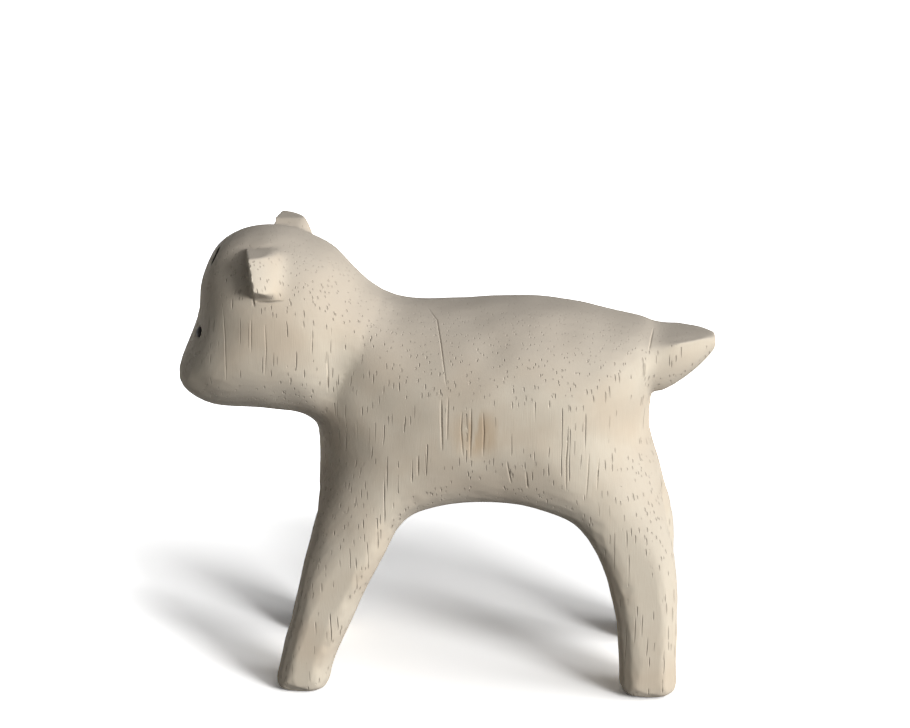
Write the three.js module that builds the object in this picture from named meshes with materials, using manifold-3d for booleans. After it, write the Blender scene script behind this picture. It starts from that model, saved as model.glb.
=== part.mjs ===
// Standing kid goat figurine in pale open-pored wood. A side template is carved out of the block and
// rounded over; the head, ears and tail are glued on with dowels, and the eyes are dark pegs.
// Millimetres, +Z up, nose towards -X, soles on z = 0, the middle of the length on x = 0.
import * as THREE from 'three';
import { mergeVertices } from 'three/addons/utils/BufferGeometryUtils.js';
import Module from 'manifold-3d';

// Trunk: heights over the floor, and reaches from the middles of the feet
const WHEELBASE = 56.6;
const BACK_HEIGHT = 64.4;
const BELLY_HEIGHT = 32.4;
const BODY_WIDTH = 30;
const BODY_EDGE_RADIUS = 14.2;
const RUMP_WIDTH = 26;
const RUMP_RUN = 20;
const RUMP_OVERHANG = 0.5;
const CROUP_OVERRUN = 1.5;
const CROUP_FALL = 1.1;
const RUMP_HOLLOW_DROP = 15.1;
const RUMP_HOLLOW_DEPTH = 1.1;
const WITHERS_SETBACK = 15.2;
const WITHERS_DROP = 0.3;
const LOIN_REACH = 20;
const LOIN_DROP = 0.1;
const CROUP_REACH = 8.9;
const CROUP_DROP = 1.6;
const GROIN_REACH = 19;
const GROIN_DROP = 0.8;
const FLANK_REACH = 11.7;
const FLANK_DROP = 4;
const GIRTH_SETBACK = 17.2;
const GIRTH_DROP = 2.5;
const ELBOW_SETBACK = 13.3;
const ELBOW_DROP = 8.4;

// Legs: each is measured from the middle of its foot
const FRONT_FOOT_LENGTH = 8.8;
const HIND_FOOT_LENGTH = 9.4;
const FRONT_TRACK = 23.4;
const HIND_TRACK = 22.2;
const LEG_THICKNESS = 8.7;
const LEG_EDGE_RADIUS = 3.8;
const SOLE_EDGE_RADIUS = 2.3;
const FOOT_HEIGHT = 4;
const FORELEG_SLANT = 11.5;
const FOREARM_SETBACK = 9.7;
const FOREARM_HEIGHT = 16.7;
const KNEE_REACH = 1;
const KNEE_HEIGHT = 18;
const BRISKET_SETBACK = 1.4;
const BRISKET_HEIGHT = 29;
const STIFLE_REACH = 6.7;
const STIFLE_HEIGHT = 19;
const HOCK_SETBACK = 4.2;
const HOCK_HEIGHT = 23;
const THIGH_SETBACK = 1.4;
const THIGH_HEIGHT = 35.2;
const FLARE_RUN = 38;
const LEG_ROOT_BELOW = 12.9;
const LEG_ROOT_ABOVE = 18.1;
const GAP_TOP_WIDTH = 12;
const GAP_TOP_DROP = 0.9;

// Neck joint: its middle is measured from the front feet and the back
const NECK_SETBACK = 6.8;
const NECK_DROP = 10.2;
const NECK_LEAN = 27;
const NECK_WIDTH = 20.5;
const SHOULDER_RUN = 24;
const CHEEK_RUN = 13;

// Head and breast: sizes measured from the middle of the neck joint
const HEAD_REACH = 27.9;
const HEAD_WIDTH = 25;
const HEAD_EDGE_RADIUS = 11.5;
const NOSE_DROP = 2.7;
const BRIDGE_REACH = 24.4;
const BRIDGE_RISE = 7.5;
const FOREHEAD_REACH = 23.5;
const FOREHEAD_RISE = 14.2;
const BROW_REACH = 20;
const BROW_RISE = 19.6;
const CROWN_REACH = 12.5;
const CROWN_RISE = 21.8;
const POLL_REACH = 3;
const POLL_RISE = 18.6;
const NAPE_SETBACK = 3.6;
const NAPE_RISE = 12.3;
const LIP_REACH = 26.3;
const LIP_DROP = 5.4;
const CHIN_REACH = 22.3;
const CHIN_DROP = 7.4;
const JAW_REACH = 12.5;
const JAW_DROP = 8.3;
const THROAT_REACH = 6;
const THROAT_DROP = 10;
const CHEST_REACH = 4.9;
const CHEST_DROP = 16.8;

// Ears, eyes and tail
const EAR_REACH = 13.5;
const EAR_RISE = 10.6;
const EAR_TILT = 35;
const EAR_SWEEP = 6;
const EAR_FRONT_SLANT = 1.8;
const RIGHT_EAR_SETBACK = 3.2;
const RIGHT_EAR_RISE = 0.4;
const EAR_LENGTH = 6.5;
const EAR_HEIGHT = 8.6;
const EAR_CORNER_RADIUS = 2.6;
const LEFT_EAR_TOP_RISE = 3.1;
const RIGHT_EAR_TOP_RISE = 3.9;
const EAR_PROUD = 4;
const EAR_DOME_RADIUS = 6.6;
const EAR_DOME_HEIGHT = 20;
const EAR_DOME_REACH = 3.2;
const EAR_SEAT_DEPTH = 1.6;
const EYE_SPREAD = 12;
const EYE_RISE = 6;
const EYE_DIAMETER = 1.6;
const EYE_DEPTH = 3;
const EYE_DOME = 0.35;
const TAIL_DROP = 4.3;
const TAIL_LENGTH = 9.5;
const TAIL_SEAT_DEPTH = 0.9;
const TAIL_WIDTH = 13.4;
const TAIL_HEIGHT = 10.6;
const TAIL_TIP_WIDTH = 2.8;
const TAIL_TIP_HEIGHT = 2.7;
const TAIL_CROWN = 0.9;
const TAIL_TIP_DROP = 0.7;
const TAIL_TAPER_POWER = 1.5;
const TAIL_PLAN_POWER = 1.5;
const TAIL_ROUNDNESS = 0.75;

// Dowels and fits
const NECK_DOWEL_DIAMETER = 6;
const NECK_DOWEL_LENGTH = 24;
const TAIL_DOWEL_DIAMETER = 2.5;
const TAIL_DOWEL_LENGTH = 9;
const TAIL_DOWEL_DROP = 4.2;
const EAR_DOWEL_DIAMETER = 2;
const EAR_DOWEL_LENGTH = 6;
const DOWEL_CHAMFER = 0.4;
const SEAT_GAP = 0.3;
const PEG_FIT = 0.1;

// Fineness of the facets
const CELL = 1.85;
const GRID_TURN = [27, 17, 0];
const OUTLINE_STEPS = 260;
const FIELD_CELL = 0.5;
const SOFT_DEPTH = 5;
const SOFT_SPREAD = 2.5;
const ROUND_SEGMENTS = 20;
const RELAX_ROUNDS = 3;
const SOLE_SNAP = 0.03;
const SHORTEST_EDGE = 0.03;

const { clamp, degToRad, lerp, smoothstep } = THREE.MathUtils;
const point = (x, y, z) => new THREE.Vector3(x, y, z);

const FRONT_X = -WHEELBASE / 2;
const HIND_X = WHEELBASE / 2;
const NECK_X = FRONT_X + NECK_SETBACK;
const NECK_Z = BACK_HEIGHT - NECK_DROP;
const NECK_AXIS = point(-Math.cos(degToRad(NECK_LEAN)), 0, Math.sin(degToRad(NECK_LEAN)));
const RUMP_X = HIND_X + RUMP_OVERHANG;
const TAIL_SEAT_X = RUMP_X - TAIL_SEAT_DEPTH;
const TAIL_ROOT_HEIGHT = BACK_HEIGHT - TAIL_DROP;
const BLUR_REACH = 2.5 * SOFT_SPREAD;

// The whole side template, clockwise from the nape; the legs run on below the floor and the croup past the
// seat of the tail, which trim them.
function sideTemplate() {
  const front = (along, height) => [FRONT_X + along, height];
  const hind = (along, height) => [HIND_X + along, height];
  const head = (ahead, rise) => [NECK_X - ahead, NECK_Z + rise];
  const frontToe = FRONT_FOOT_LENGTH / 2;
  const hindToe = HIND_FOOT_LENGTH / 2;
  const slant = 2 * FOOT_HEIGHT * Math.tan(degToRad(FORELEG_SLANT));
  const back = [
    head(-NAPE_SETBACK, NAPE_RISE),
    front(WITHERS_SETBACK, BACK_HEIGHT - WITHERS_DROP),
    hind(-LOIN_REACH, BACK_HEIGHT - LOIN_DROP),
    hind(-CROUP_REACH, BACK_HEIGHT - CROUP_DROP),
  ];
  const rump = [
    [RUMP_X + CROUP_OVERRUN, TAIL_ROOT_HEIGHT - CROUP_FALL],
    [RUMP_X, TAIL_ROOT_HEIGHT - RUMP_HOLLOW_DROP / 2],
    [RUMP_X - RUMP_HOLLOW_DEPTH, TAIL_ROOT_HEIGHT - RUMP_HOLLOW_DROP],
    hind(THIGH_SETBACK, THIGH_HEIGHT),
    hind(HOCK_SETBACK, HOCK_HEIGHT),
    hind(hindToe, FOOT_HEIGHT),
    hind(hindToe, -FOOT_HEIGHT),
  ];
  const arch = [
    hind(-hindToe, -FOOT_HEIGHT),
    hind(-hindToe, FOOT_HEIGHT),
    hind(-STIFLE_REACH, STIFLE_HEIGHT),
    hind(-FLANK_REACH, BELLY_HEIGHT - FLANK_DROP),
    hind(-GROIN_REACH, BELLY_HEIGHT - GROIN_DROP),
    [0, BELLY_HEIGHT],
    front(GIRTH_SETBACK, BELLY_HEIGHT - GIRTH_DROP),
    front(ELBOW_SETBACK, BELLY_HEIGHT - ELBOW_DROP),
    front(FOREARM_SETBACK, FOREARM_HEIGHT),
    front(frontToe, FOOT_HEIGHT),
    front(frontToe - slant, -FOOT_HEIGHT),
  ];
  const breast = [
    front(-frontToe - slant, -FOOT_HEIGHT),
    front(-frontToe, FOOT_HEIGHT),
    front(-KNEE_REACH, KNEE_HEIGHT),
    front(BRISKET_SETBACK, BRISKET_HEIGHT),
    head(CHEST_REACH, -CHEST_DROP),
    head(THROAT_REACH, -THROAT_DROP),
  ];
  const face = [
    head(JAW_REACH, -JAW_DROP),
    head(CHIN_REACH, -CHIN_DROP),
    head(LIP_REACH, -LIP_DROP),
    head(HEAD_REACH, -NOSE_DROP),
    head(BRIDGE_REACH, BRIDGE_RISE),
    head(FOREHEAD_REACH, FOREHEAD_RISE),
    head(BROW_REACH, BROW_RISE),
    head(CROWN_REACH, CROWN_RISE),
    head(POLL_REACH, POLL_RISE),
  ];
  return [...back, ...rump, ...arch, ...breast, ...face];
}

// Signed distance to a closed outline drawn smoothly through a few points, negative inside. It is kept on
// a fine grid, and its ridges deep inside are softened, so that round edges run into each other smoothly.
function outlineField(points) {
  const corners = points.map(([x, z]) => point(x, 0, z));
  const loop = new THREE.CatmullRomCurve3(corners, true, 'centripetal').getSpacedPoints(OUTLINE_STEPS);
  const low = new THREE.Box3().setFromPoints(loop).min.subScalar(BLUR_REACH);
  const span = new THREE.Box3().setFromPoints(loop).max.addScalar(BLUR_REACH).sub(low);
  const columns = Math.ceil(span.x / FIELD_CELL) + 1;
  const rows = Math.ceil(span.z / FIELD_CELL) + 1;
  const exact = new Float64Array(columns * rows);
  for (let n = 0; n < exact.length; n += 1) {
    const x = low.x + (n % columns) * FIELD_CELL;
    const z = low.z + Math.floor(n / columns) * FIELD_CELL;
    exact[n] = loopDistance(loop, x, z);
  }
  const soft = blurred(blurred(exact, columns, 1), columns, columns);
  const field = exact.map((value, n) => lerp(value, soft[n], smoothstep(-value, 0, SOFT_DEPTH)));
  return (x, z) => {
    const u = clamp((x - low.x) / FIELD_CELL, 0, columns - 1.001);
    const v = clamp((z - low.z) / FIELD_CELL, 0, rows - 1.001);
    const [i, j] = [Math.floor(u), Math.floor(v)];
    const n = j * columns + i;
    const near = lerp(field[n], field[n + 1], u - i);
    const far = lerp(field[n + columns], field[n + columns + 1], u - i);
    return lerp(near, far, v - j);
  };
}

function loopDistance(loop, x, z) {
  let nearest = Infinity;
  let inside = false;
  for (let i = 0; i + 1 < loop.length; i += 1) {
    const dx = loop[i + 1].x - loop[i].x;
    const dz = loop[i + 1].z - loop[i].z;
    const px = x - loop[i].x;
    const pz = z - loop[i].z;
    const t = clamp((px * dx + pz * dz) / (dx * dx + dz * dz), 0, 1);
    nearest = Math.min(nearest, (px - t * dx) ** 2 + (pz - t * dz) ** 2);
    const crosses = pz < 0 !== pz < dz && px < (pz / dz) * dx;
    inside = inside !== crosses;
  }
  return inside ? -Math.sqrt(nearest) : Math.sqrt(nearest);
}

// Running bell-shaped mean of grid values along one direction of the grid.
function blurred(values, columns, stride) {
  const reach = Math.ceil(BLUR_REACH / FIELD_CELL);
  const count = stride === 1 ? columns : values.length / columns;
  return values.map((_, n) => {
    const here = stride === 1 ? n % columns : Math.floor(n / columns);
    let sum = 0;
    let weights = 0;
    for (let step = Math.max(-reach, -here); step <= Math.min(reach, count - 1 - here); step += 1) {
      const weight = Math.exp(-0.5 * ((step * FIELD_CELL) / SOFT_SPREAD) ** 2);
      sum += weight * values[n + step * stride];
      weights += weight;
    }
    return sum / weights;
  });
}

// What lies inside both faces, with the edge between them rounded to the radius.
function roundedMeeting(a, b, radius) {
  const over = Math.sqrt(Math.max(a + radius, 0) ** 2 + Math.max(b + radius, 0) ** 2);
  return Math.min(Math.max(a, b), -radius) + over;
}

// Distance along the neck from its joint: positive towards the body, negative towards the head.
const pastNeck = (x, z) => -(NECK_AXIS.x * (x - NECK_X) + NECK_AXIS.z * (z - NECK_Z));

// Grows from 0 to 1 over a run, steep at its start and level at its end.
const levelling = (along, run) => Math.sin((clamp(along / run, 0, 1) * Math.PI) / 2);

// Half the width of the carving, creased at the neck joint and splayed out to the feet.
function halfWidth(x, z) {
  const along = pastNeck(x, z);
  if (along < 0) {
    return lerp(NECK_WIDTH, HEAD_WIDTH, levelling(-along, CHEEK_RUN)) / 2;
  }
  const barrel = lerp(BODY_WIDTH, RUMP_WIDTH, smoothstep(x, RUMP_X - RUMP_RUN, RUMP_X));
  const flank = lerp(NECK_WIDTH, barrel, levelling(along, SHOULDER_RUN)) / 2;
  const track = lerp(FRONT_TRACK, HIND_TRACK, smoothstep(x, FRONT_X, HIND_X));
  const foot = (track + LEG_THICKNESS) / 2;
  return lerp(foot, flank, smoothstep(z, 0, FLARE_RUN));
}

// Radius that the knife leaves on the long edges: small on the legs, full on the trunk and the head.
function edgeRadius(x, z, half) {
  const rise = smoothstep(z - BELLY_HEIGHT, -LEG_ROOT_BELOW, LEG_ROOT_ABOVE);
  const trunk = lerp(LEG_EDGE_RADIUS, BODY_EDGE_RADIUS, rise);
  const wanted = lerp(HEAD_EDGE_RADIUS, trunk, smoothstep(pastNeck(x, z), -CHEEK_RUN / 2, CHEEK_RUN / 2));
  return Math.min(wanted, half - 0.5);
}

// Slot between the left and right legs, with a round top.
function legGap(x, y, z) {
  const track = lerp(FRONT_TRACK, HIND_TRACK, smoothstep(x, FRONT_X, HIND_X));
  const top = GAP_TOP_WIDTH / 2;
  const spring = BELLY_HEIGHT - GAP_TOP_DROP - top;
  if (z > spring) {
    return Math.hypot(y, z - spring) - top;
  }
  return Math.abs(y) - lerp((track - LEG_THICKNESS) / 2, top, Math.max(z, 0) / spring);
}

const template = outlineField(sideTemplate());

// Signed field of the whole carving before it is cut into pieces.
function carving(x, y, z) {
  const half = halfWidth(x, z);
  const block = roundedMeeting(template(x, z), Math.abs(y) - half, edgeRadius(x, z, half));
  const legs = roundedMeeting(block, -legGap(x, y, z), LEG_EDGE_RADIUS);
  return roundedMeeting(legs, -z, SOLE_EDGE_RADIUS);
}

// Direction in which a field grows.
function slope(field, p) {
  const step = 0.02;
  return point(
    field(p.x + step, p.y, p.z) - field(p.x - step, p.y, p.z),
    field(p.x, p.y + step, p.z) - field(p.x, p.y - step, p.z),
    field(p.x, p.y, p.z + step) - field(p.x, p.y, p.z - step),
  ).divideScalar(2 * step);
}

// First point outside the solid on the way out from an inner point.
function surfacePoint(field, from, direction) {
  const p = from.clone();
  for (let i = 0; i < 60; i += 1) {
    p.addScaledVector(direction, -field(p.x, p.y, p.z));
  }
  return p;
}

// Closed skin of the solid where the field is negative: one corner for each grid cell that the surface
// crosses and one four-sided face for each grid edge that it crosses, evened out on the surface. The grid
// is turned askew, so that no flat face of the figurine lies along it.
function skinGeometry(field, box, cell) {
  const askew = new THREE.Matrix4().makeRotationFromEuler(new THREE.Euler(...GRID_TURN.map(degToRad)));
  const reach = box.clone().applyMatrix4(askew.clone().invert());
  const grid = sampleGrid(field, askew, reach, cell);
  const { corners, cornerOf } = crossedCells(grid, cell, reach.min);
  const faces = crossedEdges(grid, cornerOf, corners);
  corners.forEach((corner) => settle(field, corner.applyMatrix4(askew)));
  for (let round = 0; round < RELAX_ROUNDS; round += 1) {
    evenOut(corners, faces);
    corners.forEach((corner) => settle(field, corner));
  }
  return meshGeometry(corners.flatMap((p) => [p.x, p.y, p.z]), faces);
}

function sampleGrid(field, askew, box, cell) {
  const size = box.getSize(point(0, 0, 0)).divideScalar(cell).ceil().addScalar(1);
  const stride = [1, size.x, size.x * size.y];
  const values = new Float64Array(size.x * size.y * size.z);
  for (let n = 0; n < values.length; n += 1) {
    const steps = point(n % size.x, Math.floor(n / stride[1]) % size.y, Math.floor(n / stride[2]));
    const p = steps.multiplyScalar(cell).add(box.min).applyMatrix4(askew);
    values[n] = field(p.x, p.y, p.z);
  }
  return { size, stride, values };
}

// Mean of the places where the surface crosses the edges of each cell.
function crossedCells({ size, stride, values }, cell, origin) {
  const corners = [];
  const cornerOf = new Int32Array(values.length).fill(-1);
  const steps = [0, 1, 2, 3, 4, 5, 6, 7].map((bit) => [bit & 1, (bit >> 1) & 1, bit >> 2]);
  const nodes = steps.map(([i, j, k]) => i + j * stride[1] + k * stride[2]);
  for (let n = 0; n + nodes[7] < values.length; n += 1) {
    const mean = point(0, 0, 0);
    let crossings = 0;
    for (let a = 0; a < 8; a += 1) {
      for (const b of [a | 1, a | 2, a | 4]) {
        const [from, to] = [values[n + nodes[a]], values[n + nodes[b]]];
        if (from < 0 !== to < 0) {
          mean.add(point(...steps[a]).lerp(point(...steps[b]), from / (from - to)));
          crossings += 1;
        }
      }
    }
    if (crossings > 0) {
      const low = point(n % size.x, Math.floor(n / stride[1]) % size.y, Math.floor(n / stride[2]));
      cornerOf[n] = corners.length;
      corners.push(mean.divideScalar(crossings).add(low).multiplyScalar(cell).add(origin));
    }
  }
  return { corners, cornerOf };
}

// Two triangles for each grid edge between inside and outside. Each four-sided face is split along its
// shorter diagonal, unless that would join two corners that are joined already.
function crossedEdges({ stride, values }, cornerOf, corners) {
  const rings = [];
  const joined = new Set();
  const join = (a, b) => Math.min(a, b) * corners.length + Math.max(a, b);
  for (let n = 0; n < values.length; n += 1) {
    for (let axis = 0; axis < 3; axis += 1) {
      const next = n + stride[axis];
      if (next < values.length && values[n] < 0 !== values[next] < 0) {
        const u = stride[(axis + 1) % 3];
        const v = stride[(axis + 2) % 3];
        const ring = [n, n - u, n - u - v, n - v].map((index) => cornerOf[index]);
        rings.push(values[n] < 0 ? ring : ring.reverse());
        ring.forEach((corner, i) => joined.add(join(corner, ring[(i + 1) % 4])));
      }
    }
  }
  return rings.flatMap(([a, b, c, d]) => {
    const shorter = corners[a].distanceTo(corners[c]) < corners[b].distanceTo(corners[d]);
    const first = joined.has(join(b, d)) || (shorter && !joined.has(join(a, c)));
    joined.add(first ? join(a, c) : join(b, d));
    return first ? [a, b, c, a, c, d] : [a, b, d, b, c, d];
  });
}

// Moves a corner onto the surface.
function settle(field, corner) {
  for (let step = 0; step < 2; step += 1) {
    const rise = slope(field, corner);
    corner.addScaledVector(rise, -field(corner.x, corner.y, corner.z) / rise.lengthSq());
  }
  if (corner.z < SOLE_SNAP) {
    corner.z = 0;
  }
}

// Moves each corner halfway to the middle of its neighbours.
function evenOut(corners, faces) {
  const sums = corners.map(() => point(0, 0, 0));
  const counts = new Float64Array(corners.length);
  for (let f = 0; f < faces.length; f += 3) {
    for (let i = 0; i < 3; i += 1) {
      const here = faces[f + i];
      sums[here].add(corners[faces[f + ((i + 1) % 3)]]).add(corners[faces[f + ((i + 2) % 3)]]);
      counts[here] += 2;
    }
  }
  corners.forEach((corner, i) => corner.lerp(sums[i].divideScalar(counts[i]), 0.5));
}

function meshGeometry(positions, index) {
  const geometry = new THREE.BufferGeometry();
  geometry.setAttribute('position', new THREE.Float32BufferAttribute(positions, 3));
  geometry.setIndex(Array.from(index));
  return geometry;
}

// Joins and cuts
const wasm = await Module();
wasm.setup();

function solid(geometry) {
  const bare = geometry.clone();
  bare.deleteAttribute('normal');
  bare.deleteAttribute('uv');
  const merged = mergeVertices(bare, 1e-4);
  const vertProperties = new Float32Array(merged.attributes.position.array);
  const triVerts = new Uint32Array(merged.index.array);
  return new wasm.Manifold(new wasm.Mesh({ numProp: 3, vertProperties, triVerts }));
}

// Mesh of a cut solid, with the edges closed up that are too short to matter.
function geometryOf(shape) {
  const { vertProperties, triVerts } = shape.getMesh();
  const corner = (v) => point(...vertProperties.subarray(3 * v, 3 * v + 3));
  let faces = [];
  for (let f = 0; f < triVerts.length; f += 3) {
    faces.push([...triVerts.subarray(f, f + 3)]);
  }
  let count;
  do {
    count = faces.length;
    faces = closeShortEdges(faces, corner);
  } while (faces.length < count);
  return meshGeometry(vertProperties, faces.flat());
}

function closeShortEdges(faces, corner) {
  const around = new Map();
  const meet = (a, b) => around.set(a, (around.get(a) ?? new Set()).add(b));
  for (const face of faces) {
    face.forEach((a, i) => [1, 2].forEach((step) => meet(a, face[(i + step) % 3])));
  }
  const moved = new Map();
  const touched = new Set();
  for (const face of faces) {
    for (let i = 0; i < 3; i += 1) {
      const [a, b] = [face[i], face[(i + 1) % 3]];
      const shared = [...around.get(a)].filter((v) => around.get(b).has(v));
      const free = !touched.has(a) && !touched.has(b) && shared.length === 2;
      if (free && corner(a).distanceTo(corner(b)) < SHORTEST_EDGE) {
        moved.set(b, a);
        [...around.get(a), ...around.get(b)].forEach((v) => touched.add(v));
      }
    }
  }
  const renamed = faces.map((face) => face.map((v) => moved.get(v) ?? v));
  return renamed.filter(([a, b, c]) => a !== b && b !== c && c !== a);
}

// Turned shape on +Z, from a profile of [radius, height] pairs that starts and ends on the axis.
function turned(profile) {
  const outline = profile.map(([radius, height]) => new THREE.Vector2(radius, height));
  return new THREE.LatheGeometry(outline, ROUND_SEGMENTS).rotateX(Math.PI / 2);
}

function dowelGeometry(diameter, length) {
  const radius = diameter / 2;
  const end = length / 2;
  return turned([
    [0, -end],
    [radius - DOWEL_CHAMFER, -end],
    [radius, DOWEL_CHAMFER - end],
    [radius, end - DOWEL_CHAMFER],
    [radius - DOWEL_CHAMFER, end],
    [0, end],
  ]);
}

// Drilled hole for a dowel, a little wider and longer than it.
function drillGeometry(diameter, length) {
  const radius = diameter / 2 + PEG_FIT;
  const end = length / 2 + SEAT_GAP;
  return turned([[0, -end], [radius, -end], [radius, end], [0, end]]);
}

// Frame at a place, with +Z along an axis and +X as near as can be to a direction.
function frameAt(origin, axis, towards = point(1, 0, 0)) {
  const z = axis.clone().normalize();
  const y = z.clone().cross(towards).normalize();
  const x = y.clone().cross(z);
  return new THREE.Matrix4().makeBasis(x, y, z).setPosition(origin);
}

const cutter = (geometry, frame) => solid(geometry.clone().applyMatrix4(frame));
const shifted = (frame, along) => frame.clone().multiply(new THREE.Matrix4().makeTranslation(0, 0, along));

// Ear outline across its axis: a straight front edge that slants back downwards, and round corners
// behind. Its +Y points up on the left ear and down on the right one.
function earOutline(side, grow) {
  const front = -EAR_LENGTH / 2 - grow;
  const half = EAR_HEIGHT / 2 + grow;
  const radius = EAR_CORNER_RADIUS + grow;
  const outline = new THREE.Shape();
  outline.moveTo(front + (side > 0 ? EAR_FRONT_SLANT : 0), half);
  outline.lineTo(front + (side < 0 ? EAR_FRONT_SLANT : 0), -half);
  outline.absarc(EAR_LENGTH / 2 + grow - radius, radius - half, radius, -Math.PI / 2, 0, false);
  outline.absarc(EAR_LENGTH / 2 + grow - radius, half - radius, radius, 0, Math.PI / 2, false);
  return outline;
}

function earPrism(side, grow, bottom, top) {
  const settings = { depth: top - bottom, bevelEnabled: false, curveSegments: ROUND_SEGMENTS / 2 };
  return new THREE.ExtrudeGeometry(earOutline(side, grow), settings).translate(0, 0, bottom);
}

// Ear in its place: domed outside, so that it stands out in front and runs into the head behind, and
// cut level on top.
function earLobe(frame, { side, topRise }) {
  const prism = earPrism(side, 0, -EAR_SEAT_DEPTH, EAR_PROUD + SEAT_GAP);
  const dome = new THREE.SphereGeometry(EAR_DOME_RADIUS, 2 * ROUND_SEGMENTS, ROUND_SEGMENTS)
    .scale(1, EAR_DOME_HEIGHT / (2 * EAR_DOME_RADIUS), 1)
    .translate(-EAR_DOME_REACH, 0, EAR_PROUD - EAR_DOME_RADIUS);
  const top = point(0, 0, 0).setFromMatrixPosition(frame).z + topRise;
  const above = halfSpace.clone().translate(0, 0, top + halfSpan / 2);
  return cutter(prism, frame).intersect(cutter(dome, frame)).subtract(solid(above));
}

// Tail: a low crown on top, full below, tapering from its flat base to a blunt tip.
function tailGeometry() {
  const rings = 6;
  const below = 15;
  const across = 4;
  const positions = [];
  for (let ring = 0; ring <= rings; ring += 1) {
    const t = ring / rings;
    const x = lerp(TAIL_SEAT_X + SEAT_GAP, RUMP_X + TAIL_LENGTH, t);
    const half = lerp(TAIL_WIDTH, TAIL_TIP_WIDTH, t ** TAIL_PLAN_POWER) / 2;
    const top = TAIL_ROOT_HEIGHT - TAIL_TIP_DROP * t;
    const bottom = top - lerp(TAIL_HEIGHT, TAIL_TIP_HEIGHT, t ** TAIL_TAPER_POWER);
    const edge = top - TAIL_CROWN * (1 - t);
    for (let i = 0; i <= below; i += 1) {
      const angle = (i / below) * Math.PI;
      const y = half * Math.sign(Math.cos(angle)) * Math.abs(Math.cos(angle)) ** TAIL_ROUNDNESS;
      positions.push(x, y, lerp(edge, bottom, Math.sin(angle) ** TAIL_ROUNDNESS));
    }
    for (let i = 1; i < across; i += 1) {
      const y = lerp(-1, 1, i / across);
      positions.push(x, half * y, edge + TAIL_CROWN * (1 - t) * (1 - y * y));
    }
  }
  const around = below + across;
  const last = rings * around;
  const index = [];
  for (let p = 0; p < last; p += around) {
    for (let i = 0; i < around; i += 1) {
      const [a, b] = [p + i, p + ((i + 1) % around)];
      index.push(a, a + around, b, b, a + around, b + around);
    }
  }
  for (let i = 1; i + 1 < around; i += 1) {
    index.push(0, i, i + 1, last, last + i + 1, last + i);
  }
  return meshGeometry(positions, index);
}

function eyeGeometry() {
  const radius = EYE_DIAMETER / 2;
  const dome = [0, 1, 2].map((step) => {
    const angle = (step * Math.PI) / 6;
    return [radius * Math.cos(angle), EYE_DOME * Math.sin(angle)];
  });
  return turned([[0, -EYE_DEPTH], [radius, -EYE_DEPTH], ...dome, [0, EYE_DOME]]);
}

function socketGeometry() {
  const radius = EYE_DIAMETER / 2 + PEG_FIT;
  const bottom = -EYE_DEPTH - SEAT_GAP;
  return turned([[0, bottom], [radius, bottom], [radius, EYE_DEPTH], [0, EYE_DEPTH]]);
}

// Places of the joints
const neckFrame = frameAt(point(NECK_X, 0, NECK_Z), NECK_AXIS);
const tailDowelFrame = frameAt(
  point(TAIL_SEAT_X, 0, TAIL_ROOT_HEIGHT - TAIL_DOWEL_DROP),
  point(1, 0, 0),
  point(0, 0, 1),
);

function earFrame({ side, setback, rise }) {
  const tilt = degToRad(EAR_TILT);
  const sweep = degToRad(EAR_SWEEP);
  const axis = point(Math.sin(sweep), side * Math.cos(sweep), Math.tan(tilt)).normalize();
  const inner = point(NECK_X - EAR_REACH + setback, 0, NECK_Z + EAR_RISE + rise);
  return frameAt(surfacePoint(carving, inner, axis), axis);
}

function eyeFrame(side) {
  const inner = point(NECK_X - HEAD_REACH / 2, (side * EYE_SPREAD) / 2, NECK_Z + EYE_RISE);
  const place = surfacePoint(carving, inner, point(-1, 0, 0));
  return frameAt(place, slope(carving, place));
}

// Pieces
const PALE_WOOD = { color: 0xd8cbb4, roughness: 0.75 };
const DOWEL_WOOD = { color: 0xc9b48f, roughness: 0.8 };
const DARK_PEG = { color: 0x14110f, roughness: 0.35 };
const figurine = new THREE.Group();
const assembly = new THREE.Group();
figurine.add(assembly);

function addPiece(name, geometry, finish, frame = new THREE.Matrix4()) {
  const mesh = new THREE.Mesh(geometry, new THREE.MeshStandardMaterial({ ...finish, metalness: 0 }));
  mesh.name = name;
  mesh.applyMatrix4(frame);
  assembly.add(mesh);
}

const widest = Math.max(BODY_WIDTH, HEAD_WIDTH, FRONT_TRACK + LEG_THICKNESS, HIND_TRACK + LEG_THICKNESS);
const carvingBox = new THREE.Box3(
  point(NECK_X - HEAD_REACH, -widest / 2, 0),
  point(HIND_X + HIND_FOOT_LENGTH, widest / 2, NECK_Z + CROWN_RISE),
).expandByScalar(2 * CELL);
const whole = solid(skinGeometry(carving, carvingBox, CELL));

const halfSpan = 2 * carvingBox.getSize(point(0, 0, 0)).length();
const halfSpace = new THREE.BoxGeometry(halfSpan, halfSpan, halfSpan);
const headSide = cutter(halfSpace, shifted(neckFrame, (halfSpan + SEAT_GAP) / 2));
const bodySide = cutter(halfSpace, shifted(neckFrame, -(halfSpan + SEAT_GAP) / 2));
const neckHole = cutter(drillGeometry(NECK_DOWEL_DIAMETER, NECK_DOWEL_LENGTH), neckFrame);
const tailHole = cutter(drillGeometry(TAIL_DOWEL_DIAMETER, TAIL_DOWEL_LENGTH), tailDowelFrame);

const tailFlat = new THREE.BoxGeometry(TAIL_LENGTH, widest, 2 * (TAIL_HEIGHT + SEAT_GAP))
  .translate(TAIL_SEAT_X + TAIL_LENGTH / 2, 0, TAIL_ROOT_HEIGHT);
const body = whole.intersect(bodySide).subtract(neckHole).subtract(solid(tailFlat)).subtract(tailHole);
let head = whole.intersect(headSide).subtract(neckHole);
const tail = solid(tailGeometry()).subtract(tailHole);

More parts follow.
